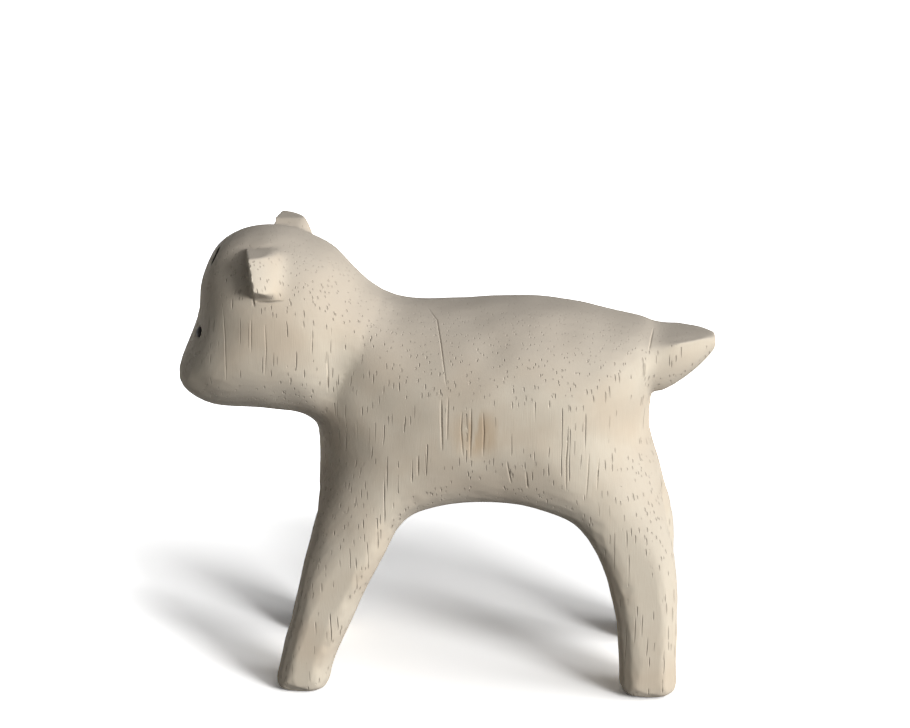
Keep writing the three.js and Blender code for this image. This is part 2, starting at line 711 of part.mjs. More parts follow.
const earDowel = dowelGeometry(EAR_DOWEL_DIAMETER, EAR_DOWEL_LENGTH);
const earHole = drillGeometry(EAR_DOWEL_DIAMETER, EAR_DOWEL_LENGTH);
const leftEar = { side: -1, setback: 0, rise: 0, topRise: LEFT_EAR_TOP_RISE };
const rightEar = { side: 1, setback: RIGHT_EAR_SETBACK, rise: RIGHT_EAR_RISE, topRise: RIGHT_EAR_TOP_RISE };
for (const [name, settings] of [['left', leftEar], ['right', rightEar]]) {
  const ear = earFrame(settings);
  const seat = shifted(ear, -EAR_SEAT_DEPTH);
  const recess = earPrism(settings.side, SEAT_GAP, -EAR_SEAT_DEPTH - SEAT_GAP, EAR_PROUD + EAR_SEAT_DEPTH);
  const lobe = earLobe(ear, settings).subtract(cutter(earHole, seat));
  const eye = eyeFrame(settings.side);
  for (const cut of [cutter(recess, ear), cutter(earHole, seat), cutter(socketGeometry(), eye)]) {
    head = head.subtract(cut);
  }
  addPiece(`${name}_ear`, geometryOf(lobe), PALE_WOOD);
  addPiece(`${name}_ear_dowel`, earDowel, DOWEL_WOOD, seat);
  addPiece(`${name}_eye`, eyeGeometry(), DARK_PEG, eye);
}

addPiece('body', geometryOf(body), PALE_WOOD);
addPiece('head', geometryOf(head), PALE_WOOD);
addPiece('tail', geometryOf(tail), PALE_WOOD);
addPiece('neck_dowel', dowelGeometry(NECK_DOWEL_DIAMETER, NECK_DOWEL_LENGTH), DOWEL_WOOD, neckFrame);
addPiece('tail_dowel', dowelGeometry(TAIL_DOWEL_DIAMETER, TAIL_DOWEL_LENGTH), DOWEL_WOOD, tailDowelFrame);

assembly.position.x = -new THREE.Box3().setFromObject(assembly, true).getCenter(point(0, 0, 0)).x;

export default figurine;
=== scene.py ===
"""Looks of a standing kid goat figurine carved in pale, open-pored wood, on a white studio floor."""
import math

import bmesh
import bpy
import numpy as np
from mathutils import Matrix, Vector
from mathutils.bvhtree import BVHTree
from mathutils.kdtree import KDTree


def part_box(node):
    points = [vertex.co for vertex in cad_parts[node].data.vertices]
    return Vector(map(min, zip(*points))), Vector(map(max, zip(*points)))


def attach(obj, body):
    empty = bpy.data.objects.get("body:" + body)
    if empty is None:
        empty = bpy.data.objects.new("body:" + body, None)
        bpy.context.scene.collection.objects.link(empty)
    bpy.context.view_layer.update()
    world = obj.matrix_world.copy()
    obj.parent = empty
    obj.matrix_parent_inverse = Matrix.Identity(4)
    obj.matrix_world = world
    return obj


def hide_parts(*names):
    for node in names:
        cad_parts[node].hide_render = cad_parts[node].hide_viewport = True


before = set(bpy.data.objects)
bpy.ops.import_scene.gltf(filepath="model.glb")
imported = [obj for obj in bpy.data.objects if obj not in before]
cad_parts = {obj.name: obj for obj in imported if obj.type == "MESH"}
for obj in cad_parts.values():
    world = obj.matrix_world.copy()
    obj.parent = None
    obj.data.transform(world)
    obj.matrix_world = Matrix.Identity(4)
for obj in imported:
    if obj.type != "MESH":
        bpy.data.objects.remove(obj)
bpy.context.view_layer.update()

MM = 0.001
SEED = 7

# Sockets of a Mix node that blends colours
MIX_FACTOR = 0
MIX_FIRST = 6
MIX_SECOND = 7
MIX_RESULT = 2

# Camera: the image is 910 by 728 pixels, and the lens and the place are fitted to the photograph
IMAGE_WIDTH = 910
IMAGE_HEIGHT = 728
FOCAL_PIXELS = 2811
SENSOR_MM = 36
CAMERA_AZIMUTH = 2.8
CAMERA_ELEVATION = 20.0
CAMERA_DISTANCE = 460 * MM
CAMERA_AIM = Vector((1.41, 0, 53.2)) * MM
CLIP_START = 10 * MM

# Light: azimuth, elevation and softness of each lamp in degrees, and its strength. The floor is grey paper
# for the light, looks brighter to the camera, and fades to white further away from the object; this fade
# is painted light that washes out the far part of the object's shadow
LAMPS = {
    "low_key": (47, 19, 20, 2.15),
    "side_key": (75, 18, 30, 0.95),
    "broad_top": (60, 40, 60, 0.75),
}
FILL_STRENGTH = 0.1
FLOOR_SPAN = 12.0
FLOOR_GREY = 0.2
FLOOR_SEEN = 1.9
FLOOR_FADED = 3.8
FADE_MIDDLE = Vector((30, 20, 0)) * MM
FADE_FROM = 45 * MM
FADE_TO = 105 * MM

# Skin: wooden solids are swollen to close their glue gaps, joined, remeshed and drawn in again
WOOD_NODES = ("body", "head", "tail", "left_ear", "right_ear")
DOWEL_NODES = ("neck_dowel", "tail_dowel", "left_ear_dowel", "right_ear_dowel")
EYE_NODES = ("left_eye", "right_eye")
SWELL = 0.18 * MM
VOXEL = 0.3 * MM
WELD = 0.001 * MM

# Smoothing: it spares the fronts of the ears, which keep their knife-cut edges
SMOOTH_ROUNDS = 40
EVEN_PULLS = (0.5, -0.52)
CRISP_SHARE = 0.25
CRISP_REACH = 1.2 * MM
EAR_CRISP_PART = 0.3
EAR_SOFT_PART = 0.65
FAR_EAR_CRISP = 0.4

# Melting: the croup runs into the tail and the left ear's back into the head, and the tail's tip gets rounder
MELT_PULLS = (0.5,)
MELT_ROUNDS = 80
MELT_REACH = 3 * MM
SEAT_MELT_FULL = 1 * MM
SEAT_MELT_NONE = 4 * MM
TIP_LENGTH = 2.5 * MM
TIP_MELT = 0.35
EAR_MELT_FROM = 0.55
EAR_MELT_TO = 1.05

# Hand carving: slow waves all over, and knife facets on the legs
WAVE_COUNT = 24
WAVE_SHORTEST = 5 * MM
WAVE_LONGEST = 12 * MM
WAVE_HEIGHT = 0.012 * MM
LEG_SPLIT_X = 5 * MM
LEG_AXIS_DEGREE = 2
FACET_COUNT = 9
FACET_DEPTH = 0.11 * MM
FACET_JITTER = 8
FACET_SMOOTH_ROUNDS = 6
FRONT_FACET_AZIMUTH = -43
HIND_FACET_AZIMUTH = -37
FACET_FULL_BELOW = 18 * MM
FACET_NONE_ABOVE = 32 * MM
SLICE = 1 * MM

# Soft crease between cheek and shoulder, the same on both sides: its path in pixels of the image
CREASE_PATH = [(338, 350), (334, 372), (331, 396)]
CREASE_REACH = 3 * MM
CREASE_DEPTH = 0.6 * MM

# Seams between the pieces
TAIL_GAP = 0.3 * MM
CUT_REACH = 2 * MM

# Marks of knife, drying and handling: paths in pixels of the image, half widths, depths and darkness.
# The darkness is painted shade inside each narrow groove; the forehead slash is coloured near black.
# A darkness over 1 widens the black core of a mark
MARKS = {
    "drying_check": {"path": [(428, 308), (437, 320), (441, 345), (446, 385)],
                     "half_width": 0.09 * MM, "depth": 0.16 * MM, "dark": 0.25},
    "check_tail": {"path": [(441, 400), (442, 450)],
                   "half_width": 0.12 * MM, "depth": 0.2 * MM, "dark": 0.3},
    "check_side": {"path": [(448, 398), (447, 440)],
                   "half_width": 0.1 * MM, "depth": 0.14 * MM, "dark": 0.2},
    "stain_groove_front": {"path": [(462, 412), (461, 430), (463, 456)],
                           "half_width": 0.09 * MM, "depth": 0.14 * MM, "dark": 0.3},
    "stain_groove_middle": {"path": [(471, 409), (471, 430), (470, 458)],
                            "half_width": 0.1 * MM, "depth": 0.18 * MM, "dark": 0.3},
    "stain_groove_back": {"path": [(483, 413), (484, 432), (483, 456)],
                          "half_width": 0.09 * MM, "depth": 0.16 * MM, "dark": 0.35},
    "flank_groove": {"path": [(568, 436), (566, 462), (566, 490)],
                     "half_width": 0.09 * MM, "depth": 0.18 * MM, "dark": 0.35},
    "thigh_groove_front": {"path": [(589, 454), (588, 475), (586, 499)],
                           "half_width": 0.08 * MM, "depth": 0.15 * MM, "dark": 0.2},
    "thigh_groove_back": {"path": [(599, 458), (597, 490)],
                          "half_width": 0.08 * MM, "depth": 0.13 * MM, "dark": 0.15},
    "arch_groove_front": {"path": [(418, 456), (418, 476)],
                          "half_width": 0.1 * MM, "depth": 0.16 * MM, "dark": 0.25},
    "arch_groove_middle": {"path": [(507, 462), (511, 483)],
                           "half_width": 0.1 * MM, "depth": 0.18 * MM, "dark": 0.3},
    "arch_groove_back": {"path": [(526, 472), (528, 488)],
                         "half_width": 0.1 * MM, "depth": 0.18 * MM, "dark": 0.3},
    "cheek_line_front": {"path": [(223, 308), (225, 340), (226, 380)],
                         "half_width": 0.07 * MM, "depth": 0.12 * MM, "dark": 0.1},
    "cheek_line_middle": {"path": [(251, 320), (251, 352)],
                          "half_width": 0.07 * MM, "depth": 0.12 * MM, "dark": 0.15},
    "cheek_line_back": {"path": [(265, 325), (266, 350), (265, 375)],
                        "half_width": 0.07 * MM, "depth": 0.13 * MM, "dark": 0.15},
    "forehead_slash": {"path": [(219.5, 247), (211.5, 264)],
                       "half_width": 0.28 * MM, "depth": 0.06 * MM, "dark": 3.0},
    # painted shade: the ear cuts are darkened where the left ear's underside meets the head
    "ear_cut": {"path": [(256, 302), (270, 302), (283, 301)],
                "half_width": 0.12 * MM, "depth": 0.2 * MM, "dark": 0.4},
    "ear_cut_overshoot": {"path": [(253, 299), (254, 306)],
                          "half_width": 0.14 * MM, "depth": 0.25 * MM, "dark": 0.6},
    "tail_seat_line": {"path": [(653.5, 328), (651, 340), (649, 351)],
                       "half_width": 0.12 * MM, "depth": 0.16 * MM, "dark": 0.0},
    "neck_line": {"path": [(327, 352), (328, 372), (328, 392)],
                  "half_width": 0.12 * MM, "depth": 0.12 * MM, "dark": 0.0},
}
MARK_SAMPLE_PIXELS = 0.5
REFINE_REACH = 0.5 * MM
REFINE_ROUNDS = 2

# Colours
PALE_WOOD = (0.748, 0.67, 0.545, 1)
WARM_WOOD = (0.682, 0.58, 0.452, 1)
# Darker grey that level faces blend to: partly the tone of end grain, partly painted shade on tops and
# undersides
END_GRAIN_AND_SHADE = (0.52, 0.465, 0.395, 1)
PORE_WOOD = (0.36, 0.26, 0.17, 1)
STAIN = (0.50, 0.33, 0.17, 1)
STAIN_SHARE = 0.5
STAIN_PIXEL = (476, 435)
# Near black of the marks: painted shade in grooves and under the ear, and the colour of the forehead slash
MARK_DARK = (0.03, 0.025, 0.02, 1)
DOWEL_PALE = (0.60, 0.47, 0.30, 1)
DOWEL_DARK = (0.46, 0.33, 0.19, 1)
EYE_BLACK = (0.006, 0.005, 0.005, 1)
EYE_WORN = (0.02, 0.017, 0.015, 1)

# Wood: each grain is the frequency of a noise along X, Y and Z per millimetre, and each span is the part of
# a noise that counts. Vessels, stain and heights are in millimetres
LONG_VESSELS = {"spacing": 1.15, "thin": 0.08, "wide": 0.17, "run": 6}
SHORT_VESSELS = {"spacing": 0.9, "thin": 0.06, "wide": 0.14, "run": 2.2}
SHORT_VESSEL_SHIFT = (31, 17, 5)
DRIFT_GRAIN = (0.03, 0.03, 0.06)
DRIFT_REACH = (1.6, 1.6, 0)
NOISE_MIDDLE = (0.5, 0.5, 0.5)
VESSEL_SCATTER = (97, 89)
VESSEL_OPEN_SPAN = (0.42, 0.5)
FIBRE_GRAIN = (6, 6, 0.3)
FIBRE_SPAN = (0.45, 0.75)
FIBRE_SHARE = 0.25
FIBRE_HEIGHT = 0.02
CLOUD_GRAIN = (0.07, 0.07, 0.09)
CLOUD_SPAN = (0.35, 0.7)
STREAK_GRAIN = (0.9, 0.9, 0.15)
STREAK_SPAN = (0.3, 0.6)
STAIN_FULL = 1.5
STAIN_NONE = 5.5
COARSE_DETAIL = 2.0
FINE_DETAIL = 3.0

# The more level the surface lies, from 0 to 1, the fainter and shallower the vessels that it cuts across
PORE_SHARE_SPAN = (0.0, 0.9)
PORE_SHARES = (0.08, 0.03)
PORE_DEPTH_SPAN = (0.2, 0.9)
PORE_DEPTHS = (0.21, 0.06)

# Surfaces
ROUGH_SPAN = (0.3, 0.7)
WOOD_ROUGHNESS = (0.62, 0.76)
WOOD_SHINE = 0.12
DOWEL_GRAIN = (0.4, 5, 5)
DOWEL_SPAN = (0.35, 0.7)
DOWEL_ROUGHNESS = (0.6, 0.8)
DOWEL_RELIEF = 0.02 * MM
EYE_GRAIN = (4, 4, 4)
EYE_SPAN = (0.3, 0.8)
EYE_ROUGHNESS = (0.45, 0.6)
EYE_SHINE = 0.06
EYE_RELIEF = 0.01 * MM


def direction(azimuth, elevation):
    """Unit vector from the object, turned from the front of the view (-Y) towards +X, and up."""
    a, e = math.radians(azimuth), math.radians(elevation)
    return Vector((math.sin(a) * math.cos(e), -math.cos(a) * math.cos(e), math.sin(e)))


def look(obj, towards):
    """Turns an object at its place so that its -Z axis looks along a direction."""
    obj.rotation_euler = Vector(towards).to_track_quat("-Z", "Y").to_euler()


def link(obj):
    bpy.context.scene.collection.objects.link(obj)
    return obj


class Nodes:
    """Makes and links the nodes of one tree; an input takes a socket or a plain value."""

    def __init__(self, tree):
        self.tree = tree

    def add(self, kind, inputs=None, **settings):
        node = self.tree.nodes.new("ShaderNode" + kind)
        for key, value in settings.items():
            setattr(node, key, value)
        for key, value in (inputs or {}).items():
            self.feed(node.inputs[key], value)
        return node

    def feed(self, socket, value):
        if isinstance(value, bpy.types.NodeSocket):
            self.tree.links.new(value, socket)
        else:
            socket.default_value = value

    def math(self, operation, *values):
        return self.add("Math", dict(enumerate(values)), operation=operation).outputs[0]

    def vector(self, operation, *values):
        return self.add("VectorMath", dict(enumerate(values)), operation=operation).outputs[0]

    def span(self, value, low, high, to_low=0.0, to_high=1.0):
        """Smooth step of a value between two bounds."""
        inputs = {"Value": value, "From Min": low, "From Max": high, "To Min": to_low, "To Max": to_high}
        return self.add("MapRange", inputs, interpolation_type="SMOOTHSTEP").outputs[0]

    def blend(self, factor, first, second):
        """Colour between two: the first at a factor of 0, the second at 1."""
        inputs = {MIX_FACTOR: factor, MIX_FIRST: first, MIX_SECOND: second}
        return self.add("Mix", inputs, data_type="RGBA").outputs[MIX_RESULT]

    def noise(self, place, detail):
        return self.add("TexNoise", {"Vector": place, "Scale": 1.0, "Detail": detail})

    def grain(self, place, frequency, detail):
        """Noise with a frequency of its own along each axis."""
        return self.noise(self.vector("MULTIPLY", place, frequency), detail).outputs["Fac"]

    def millimetres(self):
        """Place on the object in millimetres."""
        return self.vector("MULTIPLY", self.add("TexCoord").outputs["Object"], (1 / MM, 1 / MM, 1 / MM))

    def seen_ray(self):
        """1 for rays from the camera and for those that mirror or pass on what it sees, 0 for light."""
        path = self.add("LightPath").outputs
        mirrored = self.math("MAXIMUM", path["Is Glossy Ray"], path["Is Transmission Ray"])
        return self.math("MAXIMUM", path["Is Camera Ray"], mirrored)


def add_camera():
    data = bpy.data.cameras.new("camera")
    data.sensor_width = SENSOR_MM
    data.lens = FOCAL_PIXELS * SENSOR_MM / IMAGE_WIDTH
    data.clip_start = CLIP_START
    camera = link(bpy.data.objects.new("camera", data))
    back = direction(CAMERA_AZIMUTH, CAMERA_ELEVATION)
    camera.location = CAMERA_AIM + CAMERA_DISTANCE * back
    look(camera, -back)
    bpy.context.scene.camera = camera
    return camera


def add_lamps():
    for name, (azimuth, elevation, softness, strength) in LAMPS.items():
        data = bpy.data.lights.new(name, "SUN")
        data.energy = strength
        data.angle = math.radians(softness)
        lamp = link(bpy.data.objects.new(name, data))
        lamp.location = direction(azimuth, elevation)
        look(lamp, -lamp.location)


def add_world():
    world = bpy.data.worlds.new("studio")
    bpy.context.scene.world = world
    world.use_nodes = True
    world.node_tree.nodes.clear()
    nodes = Nodes(world.node_tree)
    fill = nodes.add("Background", {"Color": (1, 1, 1, 1), "Strength": FILL_STRENGTH})
    seen = nodes.add("Background", {"Color": (1, 1, 1, 1), "Strength": 1.0})
    mix = nodes.add("MixShader", {0: nodes.seen_ray(), 1: fill.outputs[0], 2: seen.outputs[0]})
    nodes.add("OutputWorld", {0: mix.outputs[0]})


def add_floor():
    half = FLOOR_SPAN / 2
    mesh = bpy.data.meshes.new("floor")
    corners = [(-half, -half, 0), (half, -half, 0), (half, half, 0), (-half, half, 0)]
    mesh.from_pydata(corners, [], [(0, 1, 2, 3)])
    floor = link(bpy.data.objects.new("floor", mesh))
    material = bpy.data.materials.new("floor")
    material.use_nodes = True
    material.node_tree.nodes.clear()
    nodes = Nodes(material.node_tree)
    place = nodes.add("TexCoord").outputs["Object"]
    away = nodes.add("VectorMath", {0: place, 1: FADE_MIDDLE}, operation="DISTANCE").outputs["Value"]
    paper = nodes.add("BsdfDiffuse", {"Color": (FLOOR_GREY, FLOOR_GREY, FLOOR_GREY, 1)})
    # painted light: the floor as seen grows brighter away from the object, washing out the far part of its
    # shadow
    shown = nodes.add("BsdfDiffuse", {"Color": nodes.span(away, FADE_FROM, FADE_TO, FLOOR_SEEN, FLOOR_FADED)})
    mix = nodes.add("MixShader", {0: nodes.seen_ray(), 1: paper.outputs[0], 2: shown.outputs[0]})
    nodes.add("OutputMaterial", {0: mix.outputs[0]})
    mesh.materials.append(material)


def node_copy(name):
    """Closed copy of a CAD solid's mesh, with its corners joined."""
    bm = bmesh.new()
    bm.from_mesh(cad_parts[name].data)
    bmesh.ops.remove_doubles(bm, verts=bm.verts, dist=WELD)
    bm.normal_update()
    return bm


def remeshed(mesh, voxel):
    obj = link(bpy.data.objects.new("remesh", mesh))
    modifier = obj.modifiers.new("even", "REMESH")
    modifier.mode = "VOXEL"
    modifier.voxel_size = voxel
    depsgraph = bpy.context.evaluated_depsgraph_get()
    result = bpy.data.meshes.new_from_object(obj.evaluated_get(depsgraph))
    bpy.data.objects.remove(obj)
    return result


def joined_wood():
    """One mesh that holds every wooden solid, swollen so that they overlap across their glue gaps."""
    joined = bmesh.new()
    for name in WOOD_NODES + DOWEL_NODES:
        bm = node_copy(name)
        for vert in bm.verts:
            vert.co += vert.normal * SWELL
        part = bpy.data.meshes.new(name + "_swollen")
        bm.to_mesh(part)
        bm.free()
        joined.from_mesh(part)
        bpy.data.meshes.remove(part)
    mesh = bpy.data.meshes.new("wood")
    joined.to_mesh(mesh)
    joined.free()
    return mesh


def array_of(items, key, width, kind=np.float32):
    """One row of numbers for each item of a mesh."""
    values = np.zeros(len(items) * width, kind)
    items.foreach_get(key, values)
    return values.reshape(-1, width)


def step(values, low, high):
    """Smooth step of an array between two bounds."""
    t = np.clip((values - low) / (high - low), 0, 1)
    return t * t * (3 - 2 * t)


def smoothed(points, edges, share, rounds, pulls=EVEN_PULLS):
    """Draws points to their neighbours, by each pull in turn. A pull back stops them from shrinking."""
    a, b = edges.T
    count = np.bincount(edges.ravel(), minlength=len(points))
    for pull in pulls * rounds:
        middle = np.empty_like(points)
        for axis in range(3):
            total = np.bincount(a, points[b, axis], len(points))
            total += np.bincount(b, points[a, axis], len(points))
            middle[:, axis] = total / count
        points = points + pull * share[:, None] * (middle - points)
    return points


def nearness(points, name, reach):
    """1 on a CAD solid, falling to 0 at the reach from it."""
    low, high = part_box(name)
    near = np.all((points > np.array(low) - reach) & (points < np.array(high) + reach), axis=1)
    tree = BVHTree.FromBMesh(node_copy(name))
    result = np.zeros(len(points))
    for i in np.flatnonzero(near):
        found = tree.find_nearest(Vector(points[i]), reach)
        if found[0] is not None:
            result[i] = 1 - found[3] / reach
    return result


def along_piece(points, name):
    """Place of each point along a CAD solid: 0 at its front end and 1 at its rear end."""
    low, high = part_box(name)
    return (points[:, 0] - low[0]) / (high[0] - low[0])


def crispness(points):
    """How far knife-cut edges stay, from 0 to 1: on the front of the left ear, less on the right one."""
    crisp = np.zeros(len(points))
    for name, most in (("left_ear", 1), ("right_ear", FAR_EAR_CRISP)):
        front = 1 - step(along_piece(points, name), EAR_CRISP_PART, EAR_SOFT_PART)
        crisp = np.maximum(crisp, most * front * nearness(points, name, CRISP_REACH))
    return crisp


def melting(points):
    """1 over the seat of the tail and behind the left ear, less at the tip of the tail, and 0 elsewhere."""
    low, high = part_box("tail")
    from_seat = np.abs(points[:, 0] - low[0])
    seat = 1 - step(from_seat, SEAT_MELT_FULL, SEAT_MELT_NONE)
    seat *= step(points[:, 2], low[2], (low[2] + high[2]) / 2)
    tip = TIP_MELT * step(points[:, 0], high[0] - TIP_LENGTH, high[0])
    tail = nearness(points, "tail", MELT_REACH) * np.maximum(seat, tip)
    ear_back = step(along_piece(points, "left_ear"), EAR_MELT_FROM, EAR_MELT_TO)
    return np.maximum(tail, nearness(points, "left_ear", MELT_REACH) * ear_back)


def carved_waves(points):
    """Slow unevenness that hand work leaves, as a height for each point."""
    rng = np.random.default_rng(SEED)
    height = np.zeros(len(points))
    for _ in range(WAVE_COUNT):
        heading = rng.normal(size=3)
        heading /= np.linalg.norm(heading)
        length = rng.uniform(WAVE_SHORTEST, WAVE_LONGEST)
        height += np.sin(points @ heading * (2 * math.pi / length) + rng.uniform(0, 2 * math.pi))
    return WAVE_HEIGHT * height


def plane_legs(points):
    """Flattens each leg into long knife facets that meet in soft ridges, less evenly on the right legs."""
    rng = np.random.default_rng(SEED)
    for end, first in ((-1, FRONT_FACET_AZIMUTH), (1, HIND_FACET_AZIMUTH)):
        for side in (-1, 1):
            of_leg = (end * (points[:, 0] - LEG_SPLIT_X) > 0) & (side * points[:, 1] > 0)
            leg = np.flatnonzero(of_leg & (points[:, 2] < FACET_NONE_ABOVE))
            azimuths = first + 360 * np.arange(FACET_COUNT) / FACET_COUNT
            azimuths += rng.uniform(-FACET_JITTER, FACET_JITTER, FACET_COUNT) * (side > 0)
            points[leg] = planed(points[leg], np.radians(azimuths))


def planed(points, azimuths):
    """One leg with a flat cut towards each azimuth, down to a set depth under its surface at each height."""
    z = points[:, 2]
    below = z < FACET_FULL_BELOW
    axis = [np.polyval(np.polyfit(z[below], points[below, i], LEG_AXIS_DEGREE), z) for i in (0, 1)]
    slices = (z / SLICE).astype(int)
    middles = (np.arange(slices.max() + 1) + 0.5) * SLICE
    share = 1 - step(z, FACET_FULL_BELOW, FACET_NONE_ABOVE)
    for azimuth in azimuths:
        heading = np.array((math.sin(azimuth), -math.cos(azimuth)))
        reach = (points[:, 0] - axis[0]) * heading[0] + (points[:, 1] - axis[1]) * heading[1]
        widest = np.zeros(len(middles))
        np.maximum.at(widest, slices, reach)
        over = np.clip(reach - np.interp(z, middles, widest) + FACET_DEPTH, 0, None)
        points[:, :2] -= (over * share)[:, None] * heading
    return points


def make_skin():
    """Smoothed skin of all wooden solids, with the unevenness and the facets of hand work."""
    mesh = remeshed(joined_wood(), VOXEL)
    points = array_of(mesh.vertices, "co", 3).astype(float)
    normals = array_of(mesh.vertex_normals, "vector", 3).astype(float)
    edges = array_of(mesh.edges, "vertices", 2, np.int32)
    points -= SWELL * normals
    share = 1 - (1 - CRISP_SHARE) * crispness(points)
    points = smoothed(points, edges, share, SMOOTH_ROUNDS)
    points = smoothed(points, edges, melting(points), MELT_ROUNDS, MELT_PULLS)
    points += carved_waves(points)[:, None] * normals
    plane_legs(points)
    legs = 1 - step(points[:, 2], FACET_FULL_BELOW, FACET_NONE_ABOVE)
    points = smoothed(points, edges, legs, FACET_SMOOTH_ROUNDS)
    points[:, 2] = np.maximum(points[:, 2], 0)
    mesh.vertices.foreach_set("co", points.astype(np.float32).ravel())
    mesh.update()
    return mesh


def camera_ray(camera, pixel):
    """Start and direction of the ray through a pixel of the image."""
    turn = camera.rotation_euler.to_matrix()
    x = (pixel[0] - IMAGE_WIDTH / 2) / FOCAL_PIXELS
    y = (IMAGE_HEIGHT / 2 - pixel[1]) / FOCAL_PIXELS
    return camera.location, (turn @ Vector((x, y, -1))).normalized()


def path_on_skin(camera, tree, pixels):
    """Points of the skin under a path of pixels."""
    found = []
    for start, end in zip(pixels, pixels[1:]):
        count = max(1, round(math.dist(start, end) / MARK_SAMPLE_PIXELS))
        for i in range(count + 1):
            pixel = Vector(start).lerp(Vector(end), i / count)
            place = tree.ray_cast(*camera_ray(camera, pixel))[0]
            if place is not None:
                found.append(place)
    return found


def skin_tree(mesh):
    bm = bmesh.new()
    bm.from_mesh(mesh)
    tree = BVHTree.FromBMesh(bm)
    bm.free()
    return tree


def mark_samples(camera, tree):
    """Places of all marks on the skin, each with its half width, its depth and its darkness there."""
    places, sizes = [], []
    for mark in MARKS.values():
        path = path_on_skin(camera, tree, mark["path"])
        for i, place in enumerate(path):
            taper = math.sqrt(math.sin(math.pi * (i + 0.5) / len(path)))
            places.append(place)
            sizes.append((mark["half_width"], mark["depth"] * taper, mark["dark"] * taper))
    return places, np.array(sizes)


def press_crease(mesh, camera):
    """Presses the soft crease into both sides of the skin."""
    points = array_of(mesh.vertices, "co", 3).astype(float)
    normals = array_of(mesh.vertex_normals, "vector", 3).astype(float)
    left = points.copy()
    left[:, 1] = -np.abs(left[:, 1])
    away = np.full(len(points), np.inf)
    for place in path_on_skin(camera, skin_tree(mesh), CREASE_PATH):
        away = np.minimum(away, np.linalg.norm(left - np.array(place), axis=1))
    points -= (CREASE_DEPTH * np.exp(-(away / CREASE_REACH) ** 2))[:, None] * normals
    mesh.vertices.foreach_set("co", points.astype(np.float32).ravel())
    mesh.update()


def refine(mesh, tree):
    """Splits the faces near the marks, so that they hold narrow grooves."""
    bm = bmesh.new()
    bm.from_mesh(mesh)
    for _ in range(REFINE_ROUNDS):
        near = {v for v in bm.verts if tree.find(v.co)[2] < REFINE_REACH}
        edges = [e for e in bm.edges if e.verts[0] in near and e.verts[1] in near]
        bmesh.ops.subdivide_edges(bm, edges=edges, cuts=1, use_grid_fill=True)
    bm.to_mesh(mesh)
    bm.free()


def carve_marks(mesh, camera):
    """Presses the marks into the skin and keeps how dark each point of them is: painted shade in the grooves,
    near black on the forehead slash.
    """
    places, sizes = mark_samples(camera, skin_tree(mesh))
    tree = KDTree(len(places))
    for i, place in enumerate(places):
        tree.insert(place, i)
    tree.balance()
    refine(mesh, tree)
    points = array_of(mesh.vertices, "co", 3).astype(float)
    normals = array_of(mesh.vertex_normals, "vector", 3).astype(float)
    dark = np.zeros(len(points))
    for i, point in enumerate(points):
        _, nearest, distance = tree.find(point)
        if distance < REFINE_REACH:
            half_width, depth, darkness = sizes[nearest]
            share = math.exp(-(distance / half_width) ** 2)
            points[i] -= depth * share * normals[i]
            dark[i] = darkness * share
    mesh.vertices.foreach_set("co", points.astype(np.float32).ravel())
    layer = mesh.attributes.new("mark", "FLOAT", "POINT")
    layer.data.foreach_set("value", dark.astype(np.float32))
    mesh.update()


def neck_plane():
    """Middle of the neck joint and the direction from it to the head."""
    points = array_of(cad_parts["neck_dowel"].data.vertices, "co", 3)
    middle = points.mean(axis=0)
    axis = np.linalg.svd(points - middle, full_matrices=False)[2][0]
    return Vector(middle), Vector(axis if axis[0] < 0 else -axis)


def cut(bm, faces, place, normal):
    """Splits faces of the skin along a plane."""
    edges = {edge for face in faces for edge in face.edges}
    verts = {vert for face in faces for vert in face.verts}
    geometry = [*faces, *edges, *verts]
    bmesh.ops.bisect_plane(bm, geom=geometry, dist=WELD, plane_co=place, plane_no=normal)


def cut_skin(bm):
    """Splits the faces that the neck joint and the seat of the tail cross."""
    cut(bm, bm.faces[:], *neck_plane())
    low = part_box("tail")[0]
    around = [face for face in bm.faces if abs(face.calc_center_median().x - low[0]) < CUT_REACH
              and face.calc_center_median().z > low[2] - TAIL_GAP]
    cut(bm, around, Vector((low[0] - TAIL_GAP / 2, 0, 0)), Vector((1, 0, 0)))


def parts_of_faces(bm):
    """Name of the wooden part that each face of the skin belongs to."""
    middle, to_head = neck_plane()
    tail_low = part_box("tail")[0]
    trees = {name: BVHTree.FromBMesh(node_copy(name)) for name in ("head", "left_ear", "right_ear")}
    parts = []
    for face in bm.faces:
        centre = face.calc_center_median()
        if (centre - middle).dot(to_head) > 0:
            ear = "left_ear" if centre.y < 0 else "right_ear"
            ear_distance = trees[ear].find_nearest(centre, CUT_REACH)[3]
            of_ear = ear_distance is not None and ear_distance < trees["head"].find_nearest(centre)[3]
            parts.append(ear if of_ear else "head")
        else:
            of_tail = centre.x > tail_low[0] - TAIL_GAP / 2 and centre.z > tail_low[2] - TAIL_GAP
            parts.append("tail" if of_tail else "body")
    return parts


def piece_mesh(bm, parts, name):
    """Closed mesh of one part of the skin, shaded as it was before the cut."""
    piece = bm.copy()
    piece.faces.ensure_lookup_table()
    others = [face for face, part in zip(piece.faces, parts) if part != name]
    bmesh.ops.delete(piece, geom=others, context="FACES")
    rims = [edge for edge in piece.edges if edge.is_boundary]
    caps = bmesh.ops.holes_fill(piece, edges=rims, sides=0)["faces"]
    bmesh.ops.poke(piece, faces=caps)
    mesh = bpy.data.meshes.new("carved_" + name)
    piece.to_mesh(mesh)
    piece.free()
    mesh.polygons.foreach_set("use_smooth", np.ones(len(mesh.polygons), bool))
    mesh.normals_split_custom_set_from_vertices(array_of(mesh.attributes["whole"].data, "vector", 3))
    mesh.attributes.remove(mesh.attributes["whole"])
    return mesh


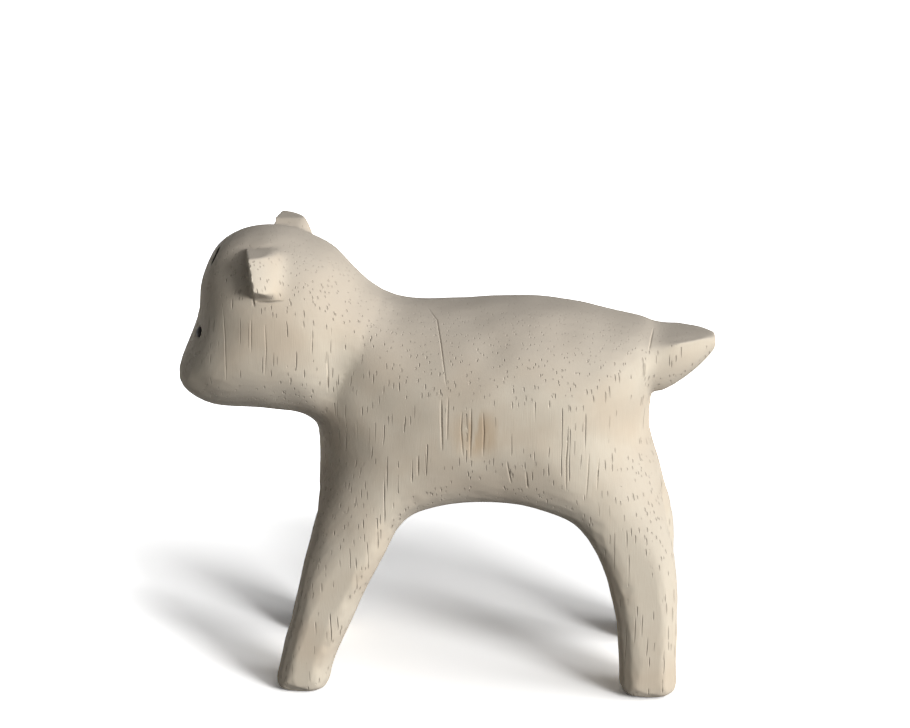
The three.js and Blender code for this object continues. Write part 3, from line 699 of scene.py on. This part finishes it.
def add_pieces(skin, material):
    """Carved pieces in place of the wooden CAD solids."""
    layer = skin.attributes.new("whole", "FLOAT_VECTOR", "POINT")
    layer.data.foreach_set("vector", array_of(skin.vertex_normals, "vector", 3).ravel())
    bm = bmesh.new()
    bm.from_mesh(skin)
    cut_skin(bm)
    parts = parts_of_faces(bm)
    for name in WOOD_NODES:
        mesh = piece_mesh(bm, parts, name)
        mesh.materials.clear()
        mesh.materials.append(material)
        piece = link(bpy.data.objects.new("carved_" + name, mesh))
        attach(piece, "root")
        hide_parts(name)
    bm.free()


def dress(names, material):
    """Gives CAD solids that stay as they are a material of their own."""
    for name in names:
        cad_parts[name].material_slots[0].material = material


def new_material(name):
    """Material with its nodes and its surface shader."""
    material = bpy.data.materials.new(name)
    material.use_nodes = True
    return material, Nodes(material.node_tree), material.node_tree.nodes["Principled BSDF"]


def add_relief(nodes, shader, height, distance):
    bump = nodes.add("Bump", {"Strength": 1.0, "Distance": distance, "Height": height})
    nodes.feed(shader.inputs["Normal"], bump.outputs[0])


def wood_material(stain_place):
    """Pale wood with open vessels that run up the block, fine fibres, warm clouds of colour and a stain;
    level faces greyer from end grain and painted shade, and marks darkened with painted shade in their
    grooves.
    """
    material, nodes, shader = new_material("carved_wood")
    place = nodes.millimetres()
    fibre = nodes.grain(place, FIBRE_GRAIN, COARSE_DETAIL)
    pore = all_vessels(nodes, place)
    normal = nodes.add("NewGeometry").outputs["Normal"]
    level = nodes.math("ABSOLUTE", nodes.add("SeparateXYZ", {0: normal}).outputs[2])
    colour = stained(nodes, place, stain_place, clouded(nodes, place, fibre))
    # Level faces, up and down, blend to the darker grey: partly end-grain tone, partly painted shade on tops
    # and undersides
    colour = nodes.blend(level, colour, END_GRAIN_AND_SHADE)
    pore_share = nodes.span(level, *PORE_SHARE_SPAN, *PORE_SHARES)
    colour = nodes.blend(nodes.math("MULTIPLY", pore, pore_share), colour, PORE_WOOD)
    # The mark attribute paints shade into the grooves and under the ear, and colours the forehead slash near
    # black
    mark = nodes.add("Attribute", attribute_name="mark").outputs["Fac"]
    nodes.feed(shader.inputs["Base Color"], nodes.blend(mark, colour, MARK_DARK))
    nodes.feed(shader.inputs["Roughness"], nodes.span(fibre, *ROUGH_SPAN, *WOOD_ROUGHNESS))
    nodes.feed(shader.inputs["Specular IOR Level"], nodes.span(mark, 0.0, 1.0, WOOD_SHINE, 0.0))
    dent = nodes.math("MULTIPLY", pore, nodes.span(level, *PORE_DEPTH_SPAN, *PORE_DEPTHS))
    height = nodes.math("SUBTRACT", nodes.math("MULTIPLY", fibre, FIBRE_HEIGHT), dent)
    add_relief(nodes, shader, height, MM)
    return material


def clouded(nodes, place, fibre):
    """Pale wood with warm clouds and fibres."""
    cloud = nodes.grain(place, CLOUD_GRAIN, FINE_DETAIL)
    colour = nodes.blend(nodes.span(cloud, *CLOUD_SPAN), PALE_WOOD, WARM_WOOD)
    return nodes.blend(nodes.span(fibre, *FIBRE_SPAN, 0.0, FIBRE_SHARE), colour, WARM_WOOD)


def stained(nodes, place, stain_place, colour):
    """A colour with the streaky stain round a place."""
    away = nodes.add("VectorMath", {0: place, 1: stain_place / MM}, operation="DISTANCE").outputs["Value"]
    streak = nodes.grain(place, STREAK_GRAIN, FINE_DETAIL)
    share = nodes.span(away, STAIN_FULL, STAIN_NONE, STAIN_SHARE, 0.0)
    return nodes.blend(nodes.math("MULTIPLY", share, nodes.span(streak, *STREAK_SPAN)), colour, STAIN)


def all_vessels(nodes, place):
    """How deep a place lies in a long or a short vessel."""
    long_vessel = vessels(nodes, place, **LONG_VESSELS)
    short_vessel = vessels(nodes, nodes.vector("ADD", place, SHORT_VESSEL_SHIFT), **SHORT_VESSELS)
    return nodes.math("MAXIMUM", long_vessel, short_vessel)


def vessels(nodes, place, spacing, thin, wide, run):
    """How deep a place lies in an open vessel: 1 in its middle, 0 outside. Sizes are in millimetres."""
    drift = nodes.noise(nodes.vector("MULTIPLY", place, DRIFT_GRAIN), COARSE_DETAIL).outputs["Color"]
    drift = nodes.vector("MULTIPLY", nodes.vector("SUBTRACT", drift, NOISE_MIDDLE), DRIFT_REACH)
    moved = nodes.vector("ADD", place, drift)
    cell = nodes.add("TexVoronoi", {"Vector": moved, "Scale": 1 / spacing}, voronoi_dimensions="2D")
    chance = nodes.add("SeparateColor", {"Color": cell.outputs["Color"]}).outputs
    radius = nodes.math("MULTIPLY_ADD", chance[0], (wide - thin) / spacing, thin / spacing)
    ratio = nodes.math("DIVIDE", cell.outputs["Distance"], radius)
    hollow = nodes.math("MAXIMUM", nodes.math("SUBTRACT", 1, nodes.math("POWER", ratio, 2)), 0)
    along = nodes.add("SeparateXYZ", {0: place}).outputs[2]
    stretch = nodes.add("CombineXYZ", {
        0: nodes.math("MULTIPLY", chance[1], VESSEL_SCATTER[0]),
        1: nodes.math("MULTIPLY", chance[2], VESSEL_SCATTER[1]),
        2: nodes.math("MULTIPLY", along, 1 / run),
    }).outputs[0]
    open_share = nodes.span(nodes.noise(stretch, 0.0).outputs["Fac"], *VESSEL_OPEN_SPAN)
    return nodes.math("MULTIPLY", hollow, open_share)


def dowel_material():
    """Plain turned dowel: straight fibres and a few darker streaks."""
    material, nodes, shader = new_material("dowel_wood")
    fibre = nodes.grain(nodes.millimetres(), DOWEL_GRAIN, FINE_DETAIL)
    colour = nodes.blend(nodes.span(fibre, *DOWEL_SPAN), DOWEL_PALE, DOWEL_DARK)
    nodes.feed(shader.inputs["Base Color"], colour)
    nodes.feed(shader.inputs["Roughness"], nodes.span(fibre, *ROUGH_SPAN, *DOWEL_ROUGHNESS))
    add_relief(nodes, shader, fibre, DOWEL_RELIEF)
    return material


def eye_material():
    """Black stained peg with a satin, slightly uneven surface."""
    material, nodes, shader = new_material("eye_black")
    grain = nodes.grain(nodes.millimetres(), EYE_GRAIN, FINE_DETAIL)
    colour = nodes.blend(nodes.span(grain, *EYE_SPAN), EYE_BLACK, EYE_WORN)
    nodes.feed(shader.inputs["Base Color"], colour)
    nodes.feed(shader.inputs["Roughness"], nodes.span(grain, *ROUGH_SPAN, *EYE_ROUGHNESS))
    nodes.feed(shader.inputs["Specular IOR Level"], EYE_SHINE)
    add_relief(nodes, shader, grain, EYE_RELIEF)
    return material


def main():
    bpy.context.scene.view_settings.view_transform = "Standard"
    camera = add_camera()
    add_lamps()
    add_world()
    add_floor()
    mesh = make_skin()
    press_crease(mesh, camera)
    stain_place = skin_tree(mesh).ray_cast(*camera_ray(camera, STAIN_PIXEL))[0]
    carve_marks(mesh, camera)
    add_pieces(mesh, wood_material(stain_place))
    dress(DOWEL_NODES, dowel_material())
    dress(EYE_NODES, eye_material())


main()
